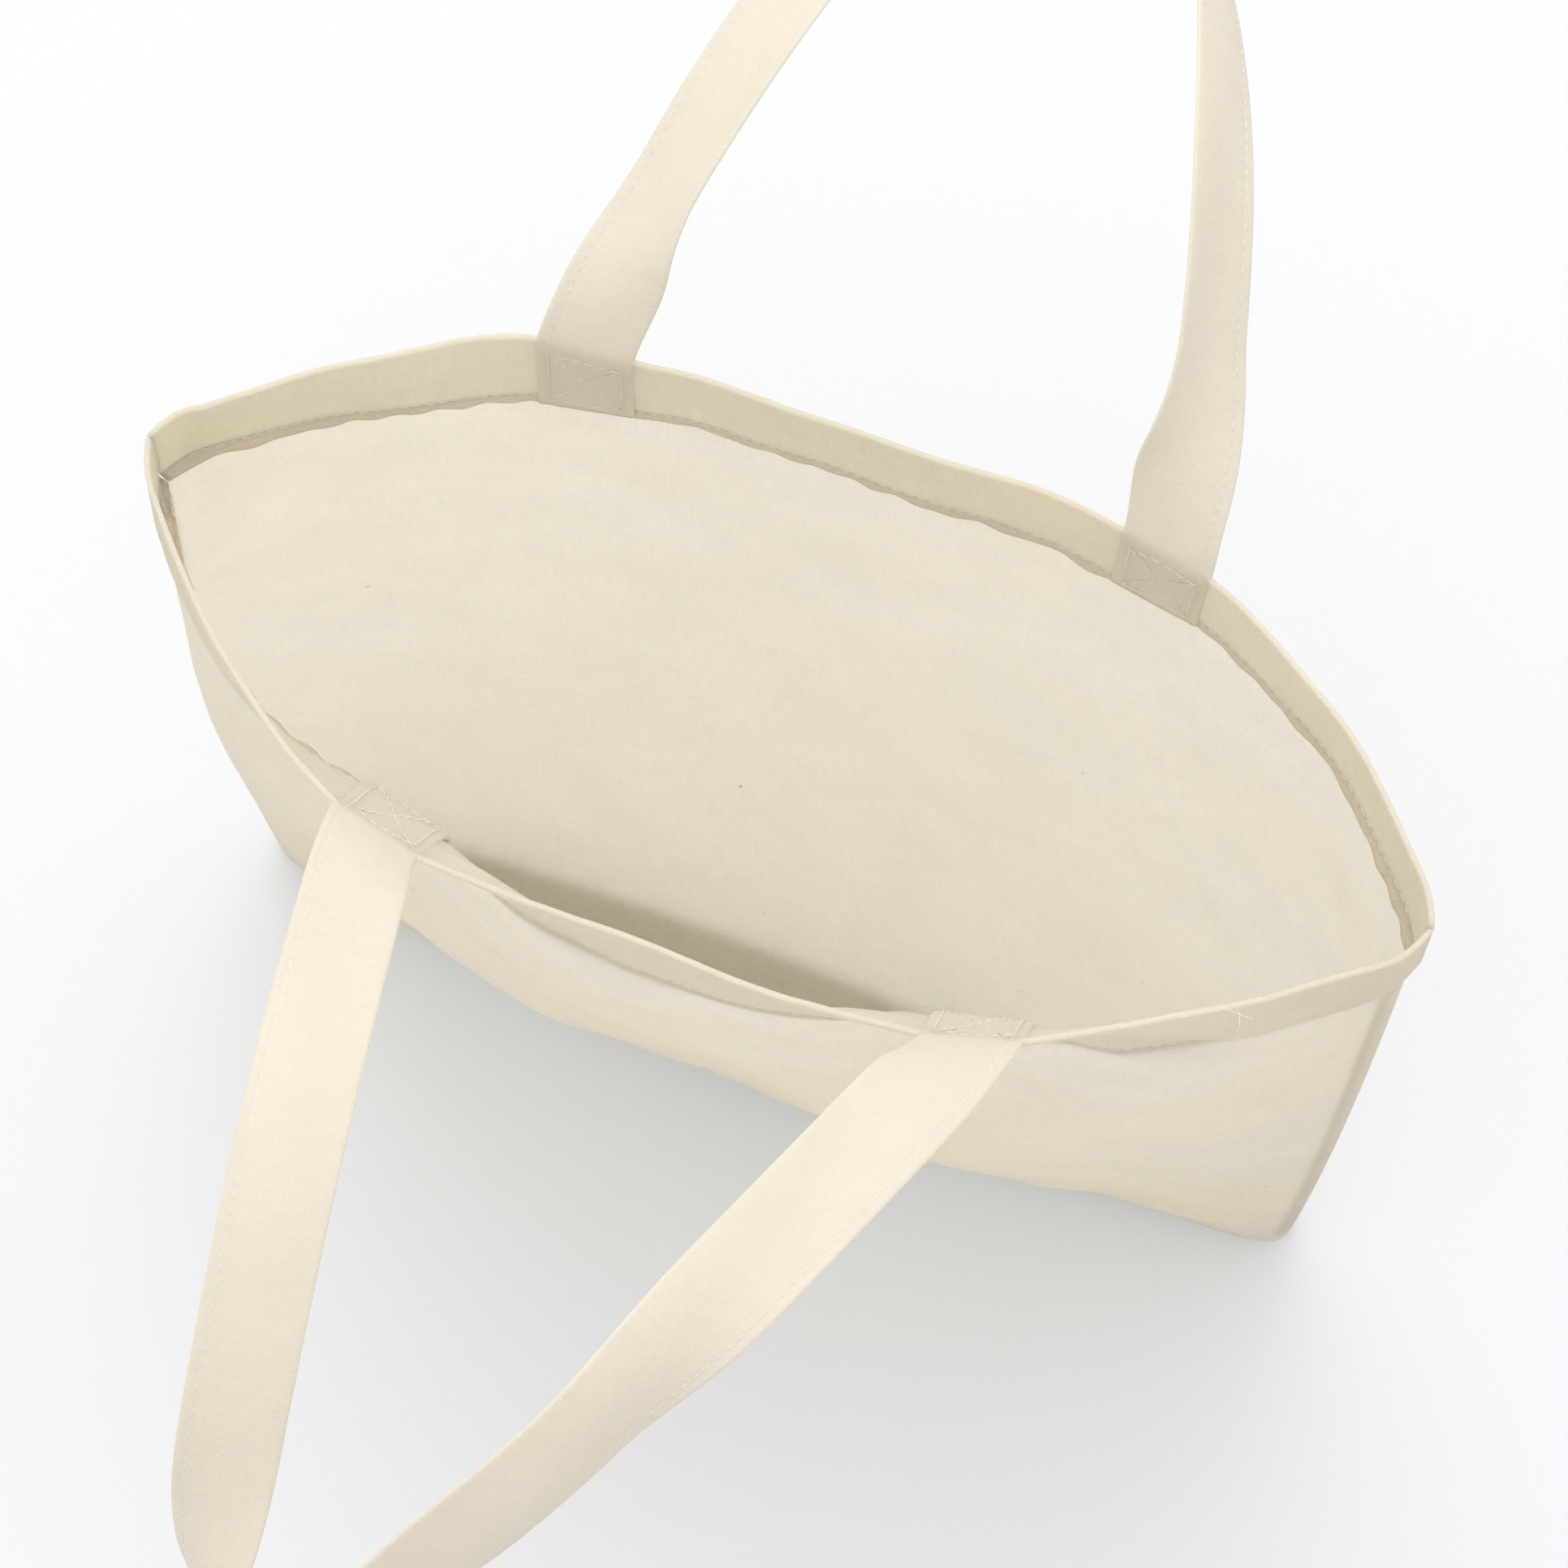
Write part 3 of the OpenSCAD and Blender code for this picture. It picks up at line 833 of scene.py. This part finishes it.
def side_overlock(end):
    rows = np.linspace(2.03, rim_row(HEM * 0.95), SEAM_ROWS)
    edge, normal = allowance_line(end, rows, ALLOWANCE, CLOTH + 0.4 * MM)
    inner, _ = allowance_line(end, rows, ALLOWANCE * 0.6, CLOTH + 0.3 * MM)
    into = unit(inner - edge)
    piece = overlock(END_NAME[end] + "_overlock_loops", edge, into, normal, OVERLOCK_W)
    dress(piece, overlock_thread)
    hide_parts(END_NAME[end] + "_overlock")


def side_stitching(end):
    """The line of lockstitch that joins the panels, seen on the allowance."""
    rows = np.linspace(2.04, rim_row(HEM), SEAM_ROWS)
    line, normal = allowance_line(end, rows, 3.2 * MM, CLOTH * 1.8)
    piece = join_parts(END_NAME[end] + "_seam_stitches", stitches(line, normal))
    dress(piece, thread)
    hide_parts(END_NAME[end] + "_seam_thread")


def bottom_seam():
    """Allowance, overlock and stitching of the bottom seam, standing inside the bag."""
    half = BASE_HALF_SPAN - CORNER_CUT - 3 * MM
    xs = np.linspace(-half, half, 140)
    heights = np.linspace(0.8 * MM, ALLOWANCE, 6)
    sway = 0.8 * MM * waves(xs, xs * 0, 51, 5, 0.05, 0.15)
    points = np.stack(
        [np.stack([xs, sway * (h / ALLOWANCE), np.full_like(xs, h)], 1) for h in heights], 1
    )
    uvs = np.stack(np.broadcast_arrays(xs[:, None], heights[None, :]), -1)
    cloth = new_mesh(
        "bottom_seam_allowance",
        points.reshape(-1, 3),
        grid_faces(len(xs), len(heights)),
        uvs.reshape(-1, 2),
    )
    thicken(cloth, 2 * CLOTH)
    dress(cloth, canvas)
    edge = np.stack([xs, sway, np.full_like(xs, ALLOWANCE)], 1)
    loops = overlock("bottom_overlock_loops", edge, [0.0, 0.0, -1.0], [0.0, 1.0, 0.0], OVERLOCK_W)
    dress(loops, overlock_thread)
    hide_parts("bottom_overlock")
    parts = []
    for face in (-1, 1):
        y = sway * 0.3 + face * (CLOTH + 0.12 * MM)
        line = np.stack([xs, y, np.full_like(xs, 2.6 * MM)], 1)
        parts += stitches(line, np.tile([0.0, face, 0.0], (len(xs), 1)))
    sewing = join_parts("bottom_seam_stitches", parts)
    dress(sewing, thread)
    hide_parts("bottom_seam_thread")
    return cloth


allowances = [side_allowance(end) for end in (LEFT, RIGHT)]
for end in (LEFT, RIGHT):
    side_overlock(end)
    side_stitching(end)
allowances.append(bottom_seam())


def hem_stitching(side):
    """The line of lockstitch above the hem's lower edge, on the inside and the outside."""
    reach = half_span(rim_row(HEM)) - 3 * MM
    xs = reach * np.sin(np.linspace(-1, 1, 260) * math.pi / 2)
    drop = np.full_like(xs, HEM - HEM_STITCH) + 0.25 * MM * waves(xs, xs * 0, 61, 4, 0.05, 0.12)
    inner, normal = on_hem(side, xs, drop, CLOTH + HEM_PLY - 0.1 * MM + xs * 0)
    outer, _ = on_hem(side, xs, drop, 0.32 * MM + xs * 0)
    parts = stitches(inner, normal) + stitches(outer, -normal)
    piece = join_parts(SIDE_NAME[side] + "_hem_stitches", parts)
    dress(piece, thread)
    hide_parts(SIDE_NAME[side] + "_hem_thread")


for side in (FRONT, BACK):
    hem_stitching(side)


# ---------------------------------------------------------------- handles

LOOP_STEPS = 500
END_STEPS = 26
STRAP_STEPS = 420
STRAP_LOW = HEM - 0.5 * MM
STRAP_DEPTH = CLOTH + HEM_PLY + STRAP_T / 2 + 0.15 * MM


def loop_out(q):
    """Share of the loop's reach at q, which runs from -1 at the left root to 1 at the right."""
    return np.maximum(0, np.cos(math.pi / 2 * q)) ** 1.6


def loop_point(side, q):
    """Middle of the strap along its free loop."""
    p = loop_out(q)
    out = LOOP_REACH[side] * p
    left = 1 - p
    hinge = HINGE[side]
    spread = np.sqrt(left * (left + LOOP_ROUND[side]) / (1 + LOOP_ROUND[side]))
    belly = BELLY * np.sqrt(left / (left + 0.02)) * (1 - smooth(left / 0.16))
    x = (STRAP_X * spread + belly) * np.sign(q) - LOOP_LEAN[side] * p * p
    y = hinge.y + side * out
    z = (
        hinge.z
        + ROOT_RISE * (1 - np.exp(-out / ROOT_RUN))
        + 4 * LOOP_ARCH * p * (1 - p)
        - LOOP_DROOP * p**2.4
    )
    return np.stack([x, y, z], -1)


def leg_roll(side, q):
    """Turn of the strap about its own length, from flat at the rim to on edge at the far end."""
    p = loop_out(q)
    rolls = []
    for end in (LEFT, RIGHT):
        first, start, stop, rest = LEG_ROLL[side, end]
        turn = first * smooth((p - start) / (stop - start))
        turn = turn + (90 - first) * smooth((p - rest) / (1 - rest))
        rolls.append(np.radians(turn))
    return np.where(q < 0, rolls[0], rolls[1])


def leg_stray(side, end, out):
    """Sideways shift of a leg in mm, at a distance out from the hinge."""
    if (side, end) not in LEG_STRAY:
        return 0.0
    shift, start, grow, fade, gone = LEG_STRAY[side, end]
    t = out / STRAY_UNIT
    return shift * smooth((t - start) / grow) * (1 - smooth((t - fade) / gone))


def settle(values, passes):
    """Evens out a row of points, its ends held."""
    for _ in range(passes):
        values[1:-1] = values[1:-1] / 2 + (values[:-2] + values[2:]) / 4
    return values


def strap_path(side):
    """Middle line, width direction, normal and run of a whole strap, sewn end to sewn end."""
    q = np.linspace(-1, 1, LOOP_STEPS)
    loop = loop_point(side, q)
    out = LOOP_REACH[side] * loop_out(q)
    along = unit(np.gradient(loop, axis=0))
    flat = unit(along * np.array([1, 1, 0]))
    out_dir = side * np.cross([0, 0, 1.0], flat)
    out_dir = unit(out_dir - along * (out_dir * along).sum(-1, keepdims=True))
    up_dir = side * unit(np.cross(along, out_dir))
    roll = leg_roll(side, q)
    edge = out_dir * np.cos(roll)[:, None] - up_dir * np.sin(roll)[:, None]
    middle, width = [], []
    for end in (LEFT, RIGHT):
        drops = np.linspace(STRAP_LOW, 0.6 * MM, END_STEPS)
        x = np.full_like(drops, end * STRAP_X)
        point, inward = on_hem(side, x, drops, np.full_like(drops, STRAP_DEPTH))
        left, _ = on_hem(side, x - STRAP_W / 2, drops, np.full_like(drops, STRAP_DEPTH))
        right, _ = on_hem(side, x + STRAP_W / 2, drops, np.full_like(drops, STRAP_DEPTH))
        rim_way = unit(right - left) * end
        # the loop starts on top of the rim, wherever the cloth has taken it
        rim = point[-1] - inward[-1] * (STRAP_DEPTH * 0.5)
        here = q < 0 if end == LEFT else q >= 0
        shift = rim + np.array([0, 0, 1.8 * MM]) - loop[0 if end == LEFT else -1]
        ease = 1 - smooth(out / (90 * MM))
        loop = loop + np.where(here, ease, 0)[:, None] * shift
        loop[:, 0] += np.where(here, leg_stray(side, end, out), 0) * MM
        near = np.where(here, 1 - smooth(out / (26 * MM)), 0)[:, None]
        edge = unit(edge * (1 - near) + rim_way[-1] * near)
        if end == RIGHT:
            point, rim_way = point[::-1], rim_way[::-1]
        middle.append(point)
        width.append(rim_way)
    clear = out > 1.5 * MM
    middle = np.concatenate([middle[0], loop[clear], middle[1]])
    width = np.concatenate([width[0], edge[clear], width[1]])
    run = np.concatenate([[0], np.cumsum(np.linalg.norm(np.diff(middle, axis=0), axis=1))])
    even = np.linspace(0, run[-1], STRAP_STEPS)
    middle = np.stack([np.interp(even, run, middle[:, i]) for i in range(3)], 1)
    width = np.stack([np.interp(even, run, width[:, i]) for i in range(3)], 1)
    middle = settle(middle, 3)
    width = unit(settle(width, 6))
    along = unit(np.gradient(middle, axis=0))
    normal = unit(np.cross(along, width))
    run = np.concatenate([[0], np.cumsum(np.linalg.norm(np.diff(middle, axis=0), axis=1))])
    return middle, width, normal, run


SECTION_POINTS = 25
# the strap's section is flat over this share of its half width, and round over the rest
FLAT_SHARE = 0.93
ROUND_SHARE = 0.07


def strap_section():
    """Outline of the folded strap: places across it and which face, both from -1 to 1."""
    spread = np.sin(np.linspace(-1, 1, SECTION_POINTS) * math.pi / 2)
    places = np.concatenate([spread, spread[::-1][1:-1]])
    top = np.concatenate([np.ones(SECTION_POINTS), -np.ones(SECTION_POINTS - 2)])
    past = np.maximum(0, np.abs(places) - FLAT_SHARE) / ROUND_SHARE
    return places, top * np.sqrt(np.maximum(0, 1 - past**2))


def strap_offset(side, place, face, run, total):
    """How far a point of the strap stands off its middle line, along its normal."""
    free = smooth((run - 45 * MM) / (40 * MM)) * smooth((total - 45 * MM - run) / (40 * MM))
    cup = 0.9 * MM * free * place**2 * (0.5 + 0.5 * math.sin(run * 21 + side))
    from_stitch = place * STRAP_W / 2 - (STRAP_W / 2 - EDGE_STITCH)
    groove = -0.22 * MM * math.exp(-((from_stitch / (0.7 * MM)) ** 2))
    sway = 0.7 * MM * free * math.sin(run * 38 + 2.5 * place + side * 1.3)
    half = STRAP_T / 2 * face + groove * np.sign(face)
    return half + cup + sway


def handle(side):
    middle, width, normal, run = strap_path(side)
    places, faces_at = strap_section()
    total = run[-1]
    points, uvs, edge_highlight = [], [], []
    for m, w, n, r in zip(middle, width, normal, run):
        for a, f in zip(places, faces_at):
            stand = strap_offset(side, a, f, r, total)
            points.append(m + w * (a * STRAP_W / 2) + n * stand)
            uvs.append((a * STRAP_W / 2, r))
            # painted highlight along the strap's folded edges
            edge_highlight.append(0.6 * float(abs(a) > 0.97))
    cols = len(places)
    quads = grid_faces(len(middle), cols, closed_cols=True, flip=True)
    quads.append(tuple(range(cols)))
    quads.append(tuple((len(middle) - 1) * cols + i for i in range(cols))[::-1])
    piece = new_mesh(SIDE_NAME[side] + "_strap", points, quads, uvs)
    mark(piece, "edge_highlight", edge_highlight)
    piece.data.materials.append(strap_canvas)
    bend_at_rim(piece)
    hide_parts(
        SIDE_NAME[side] + "_handle",
        SIDE_NAME[side] + "_left_handle_end",
        SIDE_NAME[side] + "_right_handle_end",
    )
    # the line of stitching that closes the fold, on both faces
    parts = []
    shift = STRAP_W / 2 - EDGE_STITCH
    inside = slice(3, len(run) - 3)
    for face in (-1, 1):
        stand = np.array([strap_offset(side, shift * 2 / STRAP_W, face, r, total) for r in run])
        line = middle + width * shift + normal * stand[:, None]
        parts += stitches(line[inside], (normal * face)[inside], lift=0.02 * MM)
    sewing = join_parts(SIDE_NAME[side] + "_strap_stitches", parts)
    sewing.data.materials.append(thread)
    bend_at_rim(sewing)
    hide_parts(SIDE_NAME[side] + "_handle_thread")
    return piece, sewing, total


def bend_at_rim(piece):
    """Bakes the piece's placement into its mesh."""
    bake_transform(piece)


straps = {side: handle(side) for side in (FRONT, BACK)}


def box_stitching(side, end):
    """A square of stitching with a cross in it, through the strap's end and the hem."""
    x0 = end * STRAP_X
    half = STRAP_W / 2 - 3 * MM
    low, high = HEM - 4 * MM, 4.5 * MM
    corners = [(x0 - half, low), (x0 + half, low), (x0 + half, high), (x0 - half, high)]
    runs = [(corners[i], corners[(i + 1) % 4]) for i in range(4)]
    runs += [(corners[0], corners[2]), (corners[1], corners[3])]
    parts = []
    depth = STRAP_DEPTH + STRAP_T / 2
    for (xa, da), (xb, db) in runs:
        t = np.linspace(0, 1, 24)
        line, normal = on_hem(side, xa + (xb - xa) * t, da + (db - da) * t, depth + t * 0)
        parts += stitches(line, normal, radius=0.2 * MM, lift=0.05 * MM)
        outer, _ = on_hem(side, xa + (xb - xa) * t, da + (db - da) * t, t * 0)
        parts += stitches(outer, -normal, radius=0.2 * MM, lift=0.05 * MM)
    name = SIDE_NAME[side] + "_" + END_NAME[end] + "_box_stitch"
    piece = join_parts(name + "es", parts)
    dress(piece, thread)
    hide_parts(name)


for side in (FRONT, BACK):
    for end in (LEFT, RIGHT):
        box_stitching(side, end)


def loose_threads():
    """A few cut thread ends that stand off the front rim near the right side seam."""
    parts = []
    rng = np.random.default_rng(4)
    for x, length in ((128, 7), (131, 5), (137, 4), (-120, 4)):
        root, inward = on_hem(FRONT, np.array([x * MM]), np.array([0.0]), np.array([0.6 * MM]))
        t = np.linspace(0, 1, 12)[:, None]
        curl = rng.uniform(-1, 1, 3) * np.array([1, 1, 0.2])
        side_way = rng.uniform(-1, 1, 3)
        way = t * curl + 0.35 * np.sin(t * 5) * side_way * t + np.array([0, 0, 0.25]) * t
        line = root + length * MM * way
        parts.append(tube(line, 0.1 * MM, 5))
    piece = join_parts("loose_threads", parts)
    dress(piece, thread)
    return piece


threads = loose_threads()

# ---------------------------------------------------------------- floor, light and camera


FLOOR_HALF = 30.0
FLOOR_DROP = 0.3 * MM
FLOOR_COLOUR = (0.795, 0.805, 0.82, 1)
SKY_COLOUR = (0.985, 0.99, 1.0, 1)


def floor():
    corners = [(-1, -1), (1, -1), (1, 1), (-1, 1)]
    points = [(x * FLOOR_HALF, y * FLOOR_HALF, -FLOOR_DROP) for x, y in corners]
    piece = new_mesh("floor", points, [(0, 1, 2, 3)])
    material = bpy.data.materials.new("pale_floor")
    material.use_nodes = True
    shader = material.node_tree.nodes["Principled BSDF"]
    shader.inputs["Base Color"].default_value = FLOOR_COLOUR
    shader.inputs["Roughness"].default_value = 0.9
    shader.inputs["Specular IOR Level"].default_value = 0.1
    piece.data.materials.append(material)


def area_light(name, place, size, power, colour):
    data = bpy.data.lights.new(name, "AREA")
    data.shape = "DISK"
    data.size = size
    data.energy = power
    data.color = colour
    light = bpy.data.objects.new(name, data)
    light.location = place
    aim = Vector((0, 0, 0.2)) - Vector(place)
    light.rotation_euler = aim.to_track_quat("-Z", "Y").to_euler()
    bpy.context.scene.collection.objects.link(light)


def sky(high, low_behind, low_before):
    """A pale dome: one strength overhead, and others near the horizon behind and before the bag."""
    world = bpy.data.worlds.new("studio")
    world.use_nodes = True
    tree = world.node_tree
    way = tree.nodes.new("ShaderNodeTexCoord").outputs["Generated"]
    split = tree.nodes.new("ShaderNodeSeparateXYZ")
    tree.links.new(way, split.inputs[0])
    level = link_math(tree, "MULTIPLY_ADD", split.outputs[0], -0.35, 0.5)
    behind = link_math(tree, "MULTIPLY_ADD", split.outputs[1], 0.35, level)
    low = link_math(tree, "MULTIPLY_ADD", behind, low_behind - low_before, low_before)
    lift = link_math(tree, "MAXIMUM", split.outputs[2], 0.0)
    rest = link_math(tree, "SUBTRACT", 1.0, lift)
    glow = link_math(tree, "MULTIPLY_ADD", lift, high, link_math(tree, "MULTIPLY", low, rest))
    shade = tree.nodes["Background"]
    shade.inputs[0].default_value = SKY_COLOUR
    tree.links.new(glow, shade.inputs[1])
    bpy.context.scene.world = world


def camera(azimuth, elevation, roll, target, distance, lens):
    az, el, ro = (math.radians(v) for v in (azimuth, elevation, roll))
    look = Vector((-math.sin(az) * math.cos(el), math.cos(az) * math.cos(el), -math.sin(el)))
    right = look.cross(Vector((0, 0, 1))).normalized()
    up = right.cross(look)
    turned = right * math.cos(ro) + up * math.sin(ro)
    up = up * math.cos(ro) - right * math.sin(ro)
    data = bpy.data.cameras.new("camera")
    data.sensor_width = 36
    data.lens = lens
    data.clip_end = 20
    eye = bpy.data.objects.new("camera", data)
    basis = Matrix((turned, up, -look)).transposed().to_4x4()
    eye.matrix_world = Matrix.Translation(Vector(target) - look * distance) @ basis
    bpy.context.scene.collection.objects.link(eye)
    bpy.context.scene.camera = eye


floor()
area_light("key", place=(-0.8, 1.5, 4.2), size=2.4, power=32, colour=(1.0, 0.985, 0.96))
sky(high=1.3, low_behind=1.2, low_before=0.3)
bpy.context.scene.cycles.max_bounces = 11
bpy.context.scene.cycles.diffuse_bounces = 8
camera(
    azimuth=22.56, elevation=75.32, roll=-0.51, target=(0, 0.005, 0.3), distance=1.1315, lens=96.9
)
bpy.context.scene.view_settings.view_transform = "Standard"
